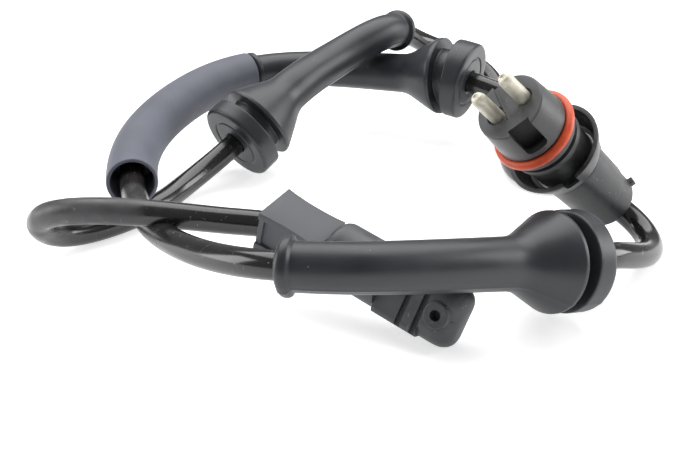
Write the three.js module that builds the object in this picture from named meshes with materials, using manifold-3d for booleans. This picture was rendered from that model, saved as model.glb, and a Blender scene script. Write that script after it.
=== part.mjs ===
// ABS wheel speed sensor: moulded head, jacketed cable with grommets and sleeve, two-pin connector.
// Millimetres, +Z up, the floor is Z = 0, and the origin lies under the middle of the sensor head.
import * as THREE from 'three';
import { NURBSCurve } from 'three/addons/curves/NURBSCurve.js';
import { mergeVertices } from 'three/addons/utils/BufferGeometryUtils.js';
import Module from 'manifold-3d';

const wasm = await Module();
wasm.setup();

// Clearances between pieces
const seatGap = 0.3;
const boreGap = 0.35;
const bendGap = 0.75;
const cutOver = 1;

// Cable
const cableDiameter = 5.2;
const cableSides = 12;
const cableSteps = 80;
const coreDiameter = 1.6;
const corePitch = 2.3;
const coreSides = 8;
const headCoreLength = 2;
const coreSteps = 6;

// Guide points of the cable's route from the head to the connector, chosen by hand.
// They pull a smooth cubic curve that starts at the first and ends at the last.
const guidePoints = [
  [6.5, -46.5, 9.5],
  [2.5, -44, 10.5],
  [-8.5, -34.5, 14.5],
  [-22.5, -31.5, 13.5],
  [-40, -37.5, 19],
  [-62.5, -32, 16.5],
  [-62, -17.5, 1.5],
  [-43, -5.5, 3.5],
  [-38.5, 9.5, 2.5],
  [-25.5, 23, 9],
  [-14, 31.5, 19.5],
  [-4, 49.5, 20],
  [11.5, 58, 27.5],
  [16.5, 73, 18],
  [39, 73.5, 10.5],
  [39.5, 55, 5],
  [41, 39.5, 4],
  [35.5, 16.5, 3],
  [52, 10, 2.5],
  [62, 26, 9],
  [27, 47.5, 16.5],
  [24.5, 47.5, 16.5],
  [6.5, 59, 14],
  [-10, 63.5, 13.5],
  [-24, 61.5, 13.5],
  [-34.5, 50.5, 14],
  [-43, 33.5, 13.5],
  [-48, 12.5, 13],
  [-46.5, -10.5, 12.5],
  [-38.5, -33.5, 12.5],
  [-25.5, -53, 17],
  [-13, -66, 22],
  [3.5, -65, 21],
  [27, -52.5, 15.5],
  [48, -37.5, 8.5],
  [50, -36.5, 9.5],
  [63, -23.5, 1.5],
  [61, -11, 4.5],
  [53.7, -9.4, 8.7],
  [51.3, -11.1, 11.4],
];
const routeDegree = 3;

// Places of the pieces on the cable, as distances along the route
const headExitAt = 12.2;
const clipMiddleAt = 19.6;
const grommetTwoDiscAt = 141;
const grommetThreeDiscAt = 348;
const grommetOneDiscAt = 611;

// Grommet
const discDiameter = 19.2;
const discThickness = 4.6;
const discEdge = 0.5;
const grooveDiameter = 13.4;
const grooveWidth = 2.8;
const coneLargeDiameter = 19;
const coneLandLength = 0.8;
const coneLength = 8.7;
const tubeConeDiameter = 9.9;
const tubeEndDiameter = 8.6;
const tubeLength = 42;
const beadDiameter = 10.5;
const beadWidth = 2.2;
const grommetSides = 24;

// Protective sleeve
const sleeveDiameter = 10.8;
const sleeveLength = 74;

// Sensor head, along its own axis from the cable exit to the end of the nose
const headSides = 28;
const barrelDiameter = 11.8;
const barrelLength = 13.6;
const shoulder = 2.2;
const collarLength = 9.6;
const collarHeight = 11.6;
const collarDepth = 8.6;
const collarCorner = 1.2;
const collarGrooveWidth = 1.1;
const collarGrooveDepth = 0.9;
const collarGrooves = [5.8, 9];
const noseLength = 6.3;
const noseHeight = 11.6;
const noseDepth = 8.8;
const noseCorner = 3.4;
const noseTipRound = 3.8;
const noseEdgeRound = 2.4;
const bossDiameter = 4.9;
const bossHeight = 0.6;
const bossSides = 24;
const bossHoleDiameter = 1.95;
const bossHoleDepth = 1.9;
const bossFromEnd = 3.8;
const headWall = 1.6;
const headUp = new THREE.Vector3(0.37, 0.188, 0.91);

// Sensing parts in the head
const carrierHeight = 6;
const carrierWall = 0.6;
const carrierFloor = 0.9;
const cellLength = 3.4;
const cellThickness = 0.9;
const magnetLength = 3;
const magnetThickness = 1.4;
const leadWidth = 0.8;
const leadThickness = 0.4;
const leadPitch = 2.2;

// Bracket clip
const clipLength = 13.2;
const clipWidth = 9.6;
const clipHeight = 9.2;
const clipFlange = 1.5;
const clipWebWidth = 7.6;
const clipRib = 1.1;
const clipWaist = 0.5;
const clipBoreOver = 3;
const clipAxis = new THREE.Vector3(0.817, -0.488, -0.305);
const clipUp = new THREE.Vector3(0.178, -0.289, 0.94);

// Connector, along its axis: zero at the O-ring, positive towards the pin tips
const connectorSides = 32;
const cableEndBehindSeal = 26;
const oringDiameter = 17.5;
const oringSection = 1.9;
const oringSides = 10;
const frontLength = 9.2;
const frontDiameter = 14;
const bodyDiameter = 15.2;
const frontChamfer = 0.5;
const ribDiameter = 15.4;
const ribWidth = 1.3;
const ribStep = 0.3;
const waistDiameter = 13.2;
const bodyLength = 13.2;
const neckWall = 0.9;
const neckLength = 3.4;
const chamberAt = 1.4;
const chamberLength = 7.2;
const keyWidth = 4.6;
const keyLength = 6.6;
const keyFloor = 5.1;
const stepWidth = 3;
const stepDepth = 1.1;
const pinDiameter = 3;
const pinPitch = 6.2;
const pinReach = 7.3;
const pinRound = 0.9;
const pinSides = 16;
const pinRecess = 0.9;
const pinRecessDiameter = 4;
const pinTailDiameter = 2.3;
const pinTailLength = 6.4;
const pinFlangeDiameter = 4.1;
const pinFlangeWidth = 1;
const retainerWidth = 1.8;
const lipDiameter = 20;
const lipAt = 7.4;
const cupWall = 1;
const cupRearDiameter = 16;
const cupFloor = 1.2;
const cupEdge = 0.3;
const notchWidth = 3;
const notchDepth = 2.6;
const shellFrontDiameter = 13.6;
const shellRearDiameter = 12.2;
const shellLength = 17.5;
const shellWall = 1.1;
const shellBandFromRear = 5.6;
const shellBandStep = 0.3;
const sealInset = 1.2;
const tabWidth = 1.4;
const tabHeight = 0.9;
const sealLength = 2.2;
const connectorUp = new THREE.Vector3(0.747, -0.078, 0.66);

// The route as a curve whose samples every piece on the cable shares
function makeRoute() {
  const clamp = routeDegree + 1;
  const spans = guidePoints.length - routeDegree;
  const knots = [];
  for (let i = 0; i < clamp; i += 1) {
    knots.push(0);
  }
  for (let i = 1; i < spans; i += 1) {
    knots.push(i / spans);
  }
  for (let i = 0; i < clamp; i += 1) {
    knots.push(1);
  }
  const controls = guidePoints.map(([x, y, z]) => new THREE.Vector4(x, y, z, 1));
  const curve = new NURBSCurve(routeDegree, knots, controls);
  curve.arcLengthDivisions = 1600;
  return curve;
}

const route = makeRoute();
const routeLength = route.getLength();
const stepLength = routeLength / cableSteps;
const stations = route.getSpacedPoints(cableSteps);
const frames = route.computeFrenetFrames(cableSteps, false);

// Place and side vectors at a distance along the route, straight between two samples
function routeFrame(distance) {
  const t = THREE.MathUtils.clamp(distance / stepLength, 0, cableSteps);
  const i = Math.min(Math.floor(t), cableSteps - 1);
  const f = t - i;
  return {
    place: stations[i].clone().lerp(stations[i + 1], f),
    normal: frames.normals[i].clone().lerp(frames.normals[i + 1], f),
    binormal: frames.binormals[i].clone().lerp(frames.binormals[i + 1], f),
  };
}

// Drops doubled corners and empty triangles, and turns the faces out
function clean(geometry) {
  const bare = geometry.clone();
  bare.deleteAttribute('normal');
  bare.deleteAttribute('uv');
  const merged = mergeVertices(bare, 1e-4);
  const kept = [];
  const index = merged.index.array;
  for (let i = 0; i < index.length; i += 3) {
    const [a, b, c] = [index[i], index[i + 1], index[i + 2]];
    if (a !== b && b !== c && c !== a) {
      kept.push(a, b, c);
    }
  }
  merged.setIndex(kept);
  if (signedVolume(merged) < 0) {
    for (let i = 0; i < kept.length; i += 3) {
      [kept[i], kept[i + 1]] = [kept[i + 1], kept[i]];
    }
    merged.setIndex(kept);
  }
  return merged;
}

function signedVolume(geometry) {
  const position = geometry.attributes.position;
  const index = geometry.index.array;
  const [a, b, c] = [new THREE.Vector3(), new THREE.Vector3(), new THREE.Vector3()];
  let sixfold = 0;
  for (let i = 0; i < index.length; i += 3) {
    a.fromBufferAttribute(position, index[i]);
    b.fromBufferAttribute(position, index[i + 1]);
    c.fromBufferAttribute(position, index[i + 2]);
    sixfold += a.dot(b.cross(c));
  }
  return sixfold / 6;
}

function solid(geometry) {
  const g = clean(geometry);
  const vertProperties = new Float32Array(g.attributes.position.array);
  const triVerts = new Uint32Array(g.index.array);
  return new wasm.Manifold(new wasm.Mesh({ numProp: 3, vertProperties, triVerts }));
}

function surface(manifold) {
  const mesh = manifold.getMesh();
  const geometry = new THREE.BufferGeometry();
  geometry.setAttribute('position', new THREE.BufferAttribute(mesh.vertProperties, 3));
  geometry.setIndex(new THREE.BufferAttribute(mesh.triVerts, 1));
  return geometry;
}

function joined(geometries) {
  return geometries.map(solid).reduce((whole, next) => whole.add(next));
}

function cut(whole, geometries) {
  return geometries.map(solid).reduce((left, next) => left.subtract(next), whole);
}

// A shape turned about Y from a closed outline of [radius, height] pairs
function turned(outline, sides) {
  const points = outline.map(([r, y]) => new THREE.Vector2(r, y));
  if (outline[0][0] > 0) {
    points.push(points[0].clone());
  }
  return clean(new THREE.LatheGeometry(points, sides));
}

// The same about Z, as the head and the connector are drawn
function turnedZ(outline, sides) {
  return turned(outline, sides).rotateX(Math.PI / 2);
}

function rodZ(diameter, from, to, sides) {
  const rod = new THREE.CylinderGeometry(diameter / 2, diameter / 2, to - from, sides);
  return rod.rotateX(Math.PI / 2).translate(0, 0, (from + to) / 2);
}

function boxZ(width, height, from, to) {
  return new THREE.BoxGeometry(width, height, to - from).translate(0, 0, (from + to) / 2);
}

function roundedBar(width, height, corner, from, to, curveSegments) {
  const [x, y, r] = [width / 2, height / 2, corner];
  const shape = new THREE.Shape();
  shape.moveTo(x - r, -y);
  shape.absarc(x - r, -y + r, r, -Math.PI / 2, 0, false);
  shape.absarc(x - r, y - r, r, 0, Math.PI / 2, false);
  shape.absarc(-x + r, y - r, r, Math.PI / 2, Math.PI, false);
  shape.absarc(-x + r, -y + r, r, Math.PI, Math.PI * 1.5, false);
  const bar = new THREE.ExtrudeGeometry(shape, { depth: to - from, bevelEnabled: false, curveSegments });
  return bar.translate(0, 0, from);
}

// A plate in the XZ plane, as wide as given, whose far end has rounded corners
function roundEnded(width, corner, from, to, thickness) {
  const shape = new THREE.Shape();
  shape.moveTo(-width / 2, from);
  shape.lineTo(width / 2, from);
  shape.absarc(width / 2 - corner, to - corner, corner, 0, Math.PI / 2, false);
  shape.absarc(-width / 2 + corner, to - corner, corner, Math.PI / 2, Math.PI, false);
  const plate = new THREE.ExtrudeGeometry(shape, { depth: thickness, bevelEnabled: false, curveSegments: 5 });
  return plate.rotateX(Math.PI / 2).translate(0, thickness / 2, 0);
}

function sweep(diameter, sides, path, steps) {
  const ring = new THREE.Shape();
  for (let i = 0; i < sides; i += 1) {
    const angle = (i / sides) * Math.PI * 2;
    const [x, y] = [(diameter / 2) * Math.cos(angle), (diameter / 2) * Math.sin(angle)];
    if (i === 0) {
      ring.moveTo(x, y);
    } else {
      ring.lineTo(x, y);
    }
  }
  return clean(new THREE.ExtrudeGeometry(ring, { steps, bevelEnabled: false, extrudePath: path }));
}

// Adds an outline point wherever the outline passes one of the route's samples
function splitAtStations(outline, zeroAt, sense) {
  const split = [];
  outline.forEach(([r0, y0], i) => {
    const [r1, y1] = outline[(i + 1) % outline.length];
    const [s0, s1] = [zeroAt + sense * y0, zeroAt + sense * y1];
    const first = Math.ceil(Math.min(s0, s1) / stepLength + 0.05);
    const last = Math.floor(Math.max(s0, s1) / stepLength - 0.05);
    const shares = [0];
    for (let k = first; k <= last; k += 1) {
      shares.push((k * stepLength - s0) / (s1 - s0));
    }
    shares.sort((a, b) => a - b);
    shares.forEach((f) => split.push([r0 + (r1 - r0) * f, y0 + (y1 - y0) * f]));
  });
  return split;
}

// Bends a turned shape along the route. Its zero sits at a distance along the route,
// and its height runs with the route or, with sense -1, against it.
function bent(outline, sides, zeroAt, sense) {
  const geometry = turned(splitAtStations(outline, zeroAt, sense), sides);
  const position = geometry.attributes.position;
  const vertex = new THREE.Vector3();
  for (let i = 0; i < position.count; i += 1) {
    vertex.fromBufferAttribute(position, i);
    const frame = routeFrame(zeroAt + sense * vertex.y);
    const point = frame.place
      .addScaledVector(frame.normal, vertex.x)
      .addScaledVector(frame.binormal, -sense * vertex.z);
    position.setXYZ(i, point.x, point.y, point.z);
  }
  return clean(geometry);
}

// Matrix of a place whose Z is the axis and whose X leans towards up
function placeOf(origin, axis, up) {
  const z = axis.clone().normalize();
  const x = up.clone().addScaledVector(z, -up.dot(z)).normalize();
  const y = z.clone().cross(x);
  return new THREE.Matrix4().makeBasis(x, y, z).setPosition(origin);
}

// Bore that the cable runs through, cut along the route, seen from a piece at a place
function routeBore(from, to, matrix) {
  const radius = cableDiameter / 2 + boreGap;
  const length = to - from;
  const rod = bent([[0, 0], [radius, 0], [radius, length], [0, length]], grommetSides, from, 1);
  return rod.applyMatrix4(matrix.clone().invert());
}

function material(color, roughness, metalness) {
  return new THREE.MeshStandardMaterial({ color, roughness, metalness });
}

const plasticLook = material(0x3a3d40, 0.55, 0);
const rubberLook = material(0x4a4d53, 0.7, 0);
const sleeveLook = material(0x6b6f7c, 0.75, 0);
const jacketLook = material(0x1b1d1f, 0.25, 0);
const sealLook = material(0xd8512d, 0.5, 0);
const innerSealLook = material(0x3f6fa0, 0.6, 0);
const pinLook = material(0xd9d6c2, 0.3, 0.9);
const leadLook = material(0xb87942, 0.4, 0.9);
const magnetLook = material(0x77797c, 0.4, 0.6);
const cellLook = material(0x151515, 0.5, 0);
const carrierLook = material(0xd8d2c0, 0.6, 0);
const coreLooks = [material(0x9b2f24, 0.5, 0), material(0x2a2a2c, 0.5, 0)];

function piece(name, geometry, look) {
  const shown = clean(geometry);
  shown.computeVertexNormals();
  const mesh = new THREE.Mesh(shown, look.clone());
  mesh.name = name;
  return mesh;
}

// Cable: one jacketed lead
function cable() {
  return piece('cable', sweep(cableDiameter, cableSides, route, cableSteps), jacketLook);
}

// Grommet: disc, groove, cone, tube and end bead round a bore, bent along the cable
const grommetBore = cableDiameter / 2 + boreGap;
const grooveAt = discThickness;
const landAt = grooveAt + grooveWidth;
const coneAt = landAt + coneLandLength;
const tubeAt = coneAt + coneLength;
const beadAt = tubeAt + tubeLength;
const grommetLength = beadAt + beadWidth;

function grommet(name, discAt, sense) {
  const beadRise = (beadDiameter - tubeEndDiameter) / 2;
  const beadShoulder = tubeEndDiameter / 2 + beadRise * 0.7;
  const beadMiddle = beadAt + beadWidth / 2;
  const outline = [
    [grommetBore, 0],
    [discDiameter / 2 - discEdge, 0],
    [discDiameter / 2, discEdge],
    [discDiameter / 2, grooveAt],
    [grooveDiameter / 2, grooveAt],
    [grooveDiameter / 2, landAt],
    [coneLargeDiameter / 2, landAt],
    [coneLargeDiameter / 2, coneAt],
    [tubeConeDiameter / 2, tubeAt],
    [tubeEndDiameter / 2, beadAt],
    [beadShoulder, beadAt + beadWidth * 0.15],
    [beadDiameter / 2, beadMiddle],
    [beadShoulder, beadAt + beadWidth * 0.85],
    [tubeEndDiameter / 2, grommetLength],
    [grommetBore, grommetLength],
  ];
  return piece(name, bent(outline, grommetSides, discAt, sense), rubberLook);
}

// Sleeve: plain thick hose from the third grommet's bead to its open end
function sleeve() {
  const outline = [
    [grommetBore, 0],
    [sleeveDiameter / 2, 0],
    [sleeveDiameter / 2, sleeveLength],
    [grommetBore, sleeveLength],
  ];
  const from = grommetThreeDiscAt + grommetLength + seatGap;
  return piece('protective_sleeve', bent(outline, grommetSides, from, 1), sleeveLook);
}

// Sensor head, drawn with Z from the cable exit to the nose, X up its height, Y to its broad face
const headLength = barrelLength + collarLength + noseLength;
const noseFrom = barrelLength + collarLength;
const cableEndRoom = cableDiameter + 2 * bendGap;
const pocketFrom = headExitAt - cutOver;
const pocketTo = headLength - headWall;
const pocketHeight = carrierHeight + 2 * seatGap;
const carrierDepth = carrierWall + magnetThickness + cellThickness + 3 * seatGap;
const pocketDepth = carrierDepth + 2 * seatGap;
const bossAt = headLength - bossFromEnd;
const headExit = routeFrame(headExitAt).place;
const headPlace = placeOf(headExit, routeFrame(0).place.sub(headExit), headUp);

function sensorHousing() {
  const r = barrelDiameter / 2;
  const barrel = turnedZ([
    [0, 0],
    [r - shoulder, 0],
    [r - shoulder * 0.3, shoulder * 0.35],
    [r, shoulder],
    [r, barrelLength + cutOver],
    [0, barrelLength + cutOver],
  ], headSides);
  const collar = roundedBar(collarHeight, collarDepth, collarCorner, barrelLength, noseFrom, 3);
  const bar = roundedBar(noseHeight, noseDepth, noseCorner, noseFrom - cutOver, headLength, 6);
  const tip = roundEnded(noseDepth, noseTipRound, noseFrom - 2 * cutOver, headLength, noseHeight + cutOver)
    .rotateZ(Math.PI / 2);
  const edge = roundEnded(noseHeight, noseEdgeRound, noseFrom - 2 * cutOver, headLength, noseDepth + cutOver);
  const nose = solid(bar).intersect(solid(tip)).intersect(solid(edge));
  const bossTop = noseDepth / 2 + bossHeight;
  const boss = rodZ(bossDiameter, 0, bossHeight + cutOver, bossSides)
    .rotateX(-Math.PI / 2)
    .translate(0, noseDepth / 2 - cutOver, bossAt);
  const hole = rodZ(bossHoleDiameter, 0, bossHoleDepth + cutOver, bossSides)
    .rotateX(-Math.PI / 2)
    .translate(0, bossTop - bossHoleDepth, bossAt);
  const grooves = collarGrooves.map((at) => {
    const middle = barrelLength + at;
    const half = collarGrooveWidth / 2;
    return boxZ(collarHeight + cutOver, collarGrooveDepth + cutOver, middle - half, middle + half)
      .translate(0, collarDepth / 2 - collarGrooveDepth / 2 + cutOver / 2, 0);
  });
  const bore = routeBore(0, headExitAt + shoulder, headPlace);
  const room = rodZ(cableEndRoom, pocketFrom, headExitAt + seatGap, grommetSides);
  const pocket = boxZ(pocketHeight, pocketDepth, pocketFrom, pocketTo);
  const whole = joined([barrel, collar, boss]).add(nose);
  const body = cut(whole, [hole, ...grooves, bore, room, pocket]);
  return piece('sensor_housing', surface(body), plasticLook);
}

// Carrier: open tray in the pocket, its two seats hold the cell in front and the magnet behind it
const carrierTo = pocketTo - seatGap;
const cellSeatHeight = carrierHeight - 2 * carrierWall;
const seatLength = Math.max(cellLength, magnetLength) + 2 * seatGap;
const carrierLength = carrierFloor * 2 + seatLength;
const carrierFrom = carrierTo - carrierLength;
const seatFrom = carrierFrom + carrierFloor;
const seatTo = carrierTo - carrierFloor;
const cellFront = carrierDepth / 2 - seatGap;
const cellMiddle = (seatFrom + seatTo) / 2;
const magnetFront = cellFront - cellThickness - seatGap;
const leadAt = cellFront - cellThickness / 2;

function elementCarrier() {
  const tray = boxZ(carrierHeight, carrierDepth, carrierFrom, carrierTo);
  const seat = boxZ(cellSeatHeight, carrierDepth, seatFrom, seatTo).translate(0, carrierWall, 0);
  const wayWidth = leadPitch + leadWidth + 2 * seatGap;
  const wayFloor = leadAt - leadThickness / 2 - seatGap;
  const leadWay = boxZ(wayWidth, carrierDepth, carrierFrom - cutOver, seatFrom + cutOver)
    .translate(0, wayFloor + carrierDepth / 2, 0);
  return piece('element_carrier', surface(cut(solid(tray), [seat, leadWay])), carrierLook);
}

function hallElement() {
  const half = cellLength / 2;
  const height = cellSeatHeight - 2 * seatGap;
  const cell = boxZ(height, cellThickness, cellMiddle - half, cellMiddle + half).translate(0, leadAt, 0);
  return piece('hall_element', cell, cellLook);
}

function biasMagnet() {
  const half = magnetLength / 2;
  const height = cellSeatHeight - 2 * seatGap;
  const magnet = boxZ(height, magnetThickness, cellMiddle - half, cellMiddle + half)
    .translate(0, magnetFront - magnetThickness / 2, 0);
  return piece('bias_magnet', magnet, magnetLook);
}

// Leads: flat strips from the cell back to the wire cores
const headCoreFrom = headExitAt + bendGap;
const leadFrom = headCoreFrom + headCoreLength + seatGap;

function signalLead(name, side) {
  const leadTo = cellMiddle - cellLength / 2 - seatGap;
  const strip = boxZ(leadWidth, leadThickness, leadFrom, leadTo)
    .translate(side * leadPitch / 2, leadAt, 0);
  return piece(name, strip, leadLook);
}

function headCore(name, side, look) {
  const from = new THREE.Vector3(side * corePitch / 2, 0, headCoreFrom);
  const to = from.clone().setZ(headCoreFrom + headCoreLength);
  const path = new THREE.LineCurve3(from, to);
  return piece(name, sweep(coreDiameter, coreSides, path, 1), look);
}

function sensorHead() {
  const head = new THREE.Group();
  head.add(sensorHousing());
  head.add(elementCarrier());
  head.add(hallElement());
  head.add(biasMagnet());
  [-1, 1].forEach((side, i) => {
    head.add(signalLead(`signal_lead_${i + 1}`, side));
    head.add(headCore(`head_core_${i + 1}`, side, coreLooks[i]));
  });
  head.applyMatrix4(headPlace);
  return head;
}

// Bracket clip: an H section lying along the cable, its sides braced by ribs, its flanges waisted
function bracketClip() {
  const half = clipLength / 2;
  const flange = new THREE.Shape();
  flange.moveTo(-half, -clipWidth / 2);
  flange.quadraticCurveTo(0, -clipWidth / 2 + 2 * clipWaist, half, -clipWidth / 2);
  flange.lineTo(half, clipWidth / 2);
  flange.quadraticCurveTo(0, clipWidth / 2 - 2 * clipWaist, -half, clipWidth / 2);
  const flangeAt = (height) => new THREE.ExtrudeGeometry(flange, {
    depth: clipFlange,
    bevelEnabled: false,
    curveSegments: 6,
  }).rotateY(Math.PI / 2).translate(height, 0, 0);
  const top = flangeAt(clipHeight / 2 - clipFlange);
  const bottom = flangeAt(-clipHeight / 2);
  const innerHeight = clipHeight - 2 * clipFlange + cutOver;
  const web = boxZ(innerHeight, clipWebWidth, -half, half);
  const ribHeight = clipWidth - 2 * clipWaist;
  const ribs = [-half, -clipRib / 2, half - clipRib]
    .map((from) => boxZ(innerHeight, ribHeight, from, from + clipRib));
  const near = routeFrame(clipMiddleAt - half).place;
  const far = routeFrame(clipMiddleAt + half).place;
  const middle = near.clone().add(far).multiplyScalar(0.5);
  const clipPlace = placeOf(middle, clipAxis, clipUp);
  const bore = routeBore(clipMiddleAt - half - clipBoreOver, clipMiddleAt + half + clipBoreOver, clipPlace);
  const clip = piece('bracket_clip', surface(cut(joined([web, top, bottom, ...ribs]), [bore])), rubberLook);
  const group = new THREE.Group();
  group.add(clip);
  group.applyMatrix4(clipPlace);
  return group;
}

// Place of the connector: its axis is the cable's last stretch
const cableEndPlace = routeFrame(routeLength).place;
const connectorAxis = route.getTangent(1);
const sealMiddle = cableEndPlace.clone().addScaledVector(connectorAxis, cableEndBehindSeal);
const connectorPlace = placeOf(sealMiddle, connectorAxis, connectorUp);

// Connector body: pin face, seal groove, ribs, waist and the neck that the rear shell grips
const sealInner = oringDiameter / 2 - oringSection;
const grooveRadius = sealInner - seatGap;
const grooveHalf = oringSection / 2 + seatGap;
const neckFrom = -bodyLength;
const neckTo = neckFrom - neckLength;
const wireWayDiameter = pinPitch + coreDiameter + 2 * seatGap;
const neckDiameter = wireWayDiameter + 2 * neckWall;
const chamberDiameter = pinPitch + pinFlangeDiameter + 2 * seatGap;
const chamberTop = -chamberAt;

function connectorBody() {
  const outline = [
    [0, neckTo],
    [neckDiameter / 2, neckTo],
    [neckDiameter / 2, neckFrom],
    [waistDiameter / 2, neckFrom],
    [waistDiameter / 2, -grooveHalf - ribWidth * 3],
    [ribDiameter / 2 - ribStep, -grooveHalf - ribWidth * 3],
    [ribDiameter / 2 - ribStep, -grooveHalf - ribWidth * 2],
    [waistDiameter / 2, -grooveHalf - ribWidth * 2],
    [waistDiameter / 2, -grooveHalf - ribWidth],
    [ribDiameter / 2, -grooveHalf - ribWidth],
    [ribDiameter / 2, -grooveHalf],
    [grooveRadius, -grooveHalf],
    [grooveRadius, grooveHalf],
    [bodyDiameter / 2, grooveHalf],
    [frontDiameter / 2, frontLength - frontChamfer],
    [frontDiameter / 2 - frontChamfer, frontLength],
    [0, frontLength],
  ];
  const body = solid(turnedZ(outline, connectorSides));
  const chamber = rodZ(chamberDiameter, chamberTop - chamberLength, chamberTop, connectorSides);
  const wireWay = rodZ(wireWayDiameter, neckTo - cutOver, chamberTop - cutOver, connectorSides);
  const keyDepth = bodyDiameter / 2 - keyFloor + cutOver;
  const key = boxZ(keyWidth, keyDepth, frontLength - keyLength, frontLength + cutOver)
    .translate(0, -(keyFloor + bodyDiameter / 2 + cutOver) / 2, 0);
  const step = boxZ(stepWidth, frontDiameter / 2 + cutOver, frontLength - stepDepth, frontLength + cutOver)
    .translate(0, (frontDiameter / 2 + cutOver) / 2, 0);
  const pinCuts = [-1, 1].flatMap((side) => [
    rodZ(pinDiameter + 2 * seatGap, chamberTop - cutOver, frontLength + cutOver, pinSides),
    rodZ(pinRecessDiameter, frontLength - pinRecess, frontLength + cutOver, pinSides),
  ].map((g) => g.translate(side * pinPitch / 2, 0, 0)));
  return piece('connector_body', surface(cut(body, [chamber, wireWay, key, step, ...pinCuts])), plasticLook);
}

function oring() {
  const ring = new THREE.TorusGeometry(
    (oringDiameter - oringSection) / 2,
    oringSection / 2,
    oringSides,
    connectorSides,
  );
  return piece('o_ring', ring, sealLook);
}

// Pin: round contact with a flange behind the front wall and a tail that holds the wire core
const pinTailEnd = chamberTop - pinTailLength;

function contactPin(name, side) {
  const flangeTop = chamberTop - seatGap;
  const tip = frontLength + pinReach;
  const pin = turnedZ([
    [0, pinTailEnd],
    [pinTailDiameter / 2, pinTailEnd],
    [pinTailDiameter / 2, flangeTop - pinFlangeWidth],
    [pinFlangeDiameter / 2, flangeTop - pinFlangeWidth],
    [pinFlangeDiameter / 2, flangeTop],
    [pinDiameter / 2, flangeTop],
    [pinDiameter / 2, tip - pinRound],
    [pinDiameter / 2 - pinRound * 0.3, tip - pinRound * 0.3],
    [pinDiameter / 2 - pinRound, tip],
    [0, tip],
  ], pinSides);
  return piece(name, pin.translate(side * pinPitch / 2, 0, 0), pinLook);
}

// Retainer: disc behind the pin flanges
function pinRetainer() {
  const top = chamberTop - 2 * seatGap - pinFlangeWidth;
  const bottom = top - retainerWidth;
  const disc = solid(rodZ(chamberDiameter - 2 * seatGap, bottom, top, connectorSides));
  const hole = pinTailDiameter + 2 * seatGap;
  const holes = [-1, 1].map((side) => rodZ(hole, bottom - cutOver, top + cutOver, pinSides)
    .translate(side * pinPitch / 2, 0, 0));
  return piece('pin_retainer', surface(cut(disc, holes)), carrierLook);
}

// Wire cores from the cable's end to the pin tails
function connectorCore(name, side, look) {
  const cableEnd = new THREE.Vector3(side * corePitch / 2, 0, -cableEndBehindSeal + bendGap);
  const pinEnd = new THREE.Vector3(side * pinPitch / 2, 0, pinTailEnd - seatGap);
  const lift = (pinEnd.z - cableEnd.z) / 2.5;
  const path = new THREE.CubicBezierCurve3(
    cableEnd,
    cableEnd.clone().setZ(cableEnd.z + lift),
    pinEnd.clone().setZ(pinEnd.z - lift),
    pinEnd,
  );
  return piece(name, sweep(coreDiameter, coreSides, path, coreSteps), look);
}

// Collar: flared cup behind the seal, open to the front, notched below
const cupRear = neckFrom;

function couplingCollar() {
  const inner = waistDiameter / 2 + seatGap;
  const cup = solid(turnedZ([
    [inner, cupRear],
    [cupRearDiameter / 2 - cupWall, cupRear],
    [cupRearDiameter / 2, cupRear + cupWall],
    [lipDiameter / 2 - cupEdge, -lipAt - cupWall],
    [lipDiameter / 2, -lipAt],
    [lipDiameter / 2 - cupWall, -lipAt],
    [cupRearDiameter / 2 - cupEdge, cupRear + cupFloor],
    [inner, cupRear + cupFloor],
  ], connectorSides));
  const notch = boxZ(notchWidth, lipDiameter / 2, -lipAt - notchDepth, -lipAt + cutOver)
    .translate(0, -lipDiameter / 2 - cupWall, 0);
  return piece('coupling_collar', surface(cut(cup, [notch])), plasticLook);
}

// Rear shell: grips the neck, holds the cable seal, and ends in a rim with a small tab
const shellFrom = cupRear - seatGap;
const shellTo = shellFrom - shellLength;
const sealFrom = shellTo + sealInset;
const sealTo = sealFrom + sealLength;

function rearShell() {
  const front = shellFrontDiameter / 2;
  const rear = shellRearDiameter / 2;
  const bandAt = shellTo + shellBandFromRear;
  const neckBore = neckDiameter / 2 + seatGap;
  const neckFloor = neckTo - seatGap;
  const inner = rear - shellWall;
  const shell = turnedZ([
    [inner, shellTo],
    [rear - shellBandStep, shellTo],
    [rear, shellTo + shellBandStep],
    [rear, bandAt],
    [rear + shellBandStep, bandAt],
    [front, shellFrom - shellBandStep],
    [front - shellBandStep, shellFrom],
    [neckBore, shellFrom],
    [neckBore, neckFloor],
    [inner, neckFloor],
  ], connectorSides);
  const tabRoot = shellWall / 2;
  const tab = boxZ(tabHeight + tabRoot, tabWidth, shellTo, shellTo + tabWidth)
    .translate(rear + (tabHeight - tabRoot) / 2, 0, 0);
  const bore = routeBore(routeLength - 2 * stepLength, routeLength, connectorPlace);
  return piece('rear_shell', surface(cut(joined([shell, tab]), [bore])), plasticLook);
}

function cableSeal() {
  const outer = shellRearDiameter / 2 - shellWall - seatGap;
  const disc = solid(rodZ(2 * outer, sealFrom, sealTo, connectorSides));
  const bore = routeBore(routeLength - stepLength, routeLength, connectorPlace);
  return piece('cable_seal', surface(cut(disc, [bore])), innerSealLook);
}

function connector() {
  const group = new THREE.Group();
  group.add(connectorBody());
  group.add(oring());
  [-1, 1].forEach((side, i) => {
    group.add(contactPin(`contact_pin_${i + 1}`, side));
    group.add(connectorCore(`connector_core_${i + 1}`, side, coreLooks[i]));
  });
  group.add(pinRetainer());
  group.add(couplingCollar());
  group.add(rearShell());
  group.add(cableSeal());
  group.applyMatrix4(connectorPlace);
  return group;
}

const sensor = new THREE.Group();
const head = sensorHead();
sensor.add(head);
sensor.add(bracketClip());
sensor.add(cable());
sensor.add(grommet('grommet_1', grommetOneDiscAt, -1));
sensor.add(grommet('grommet_2', grommetTwoDiscAt, 1));
sensor.add(grommet('grommet_3', grommetThreeDiscAt, 1));
sensor.add(sleeve());
sensor.add(connector());

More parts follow.
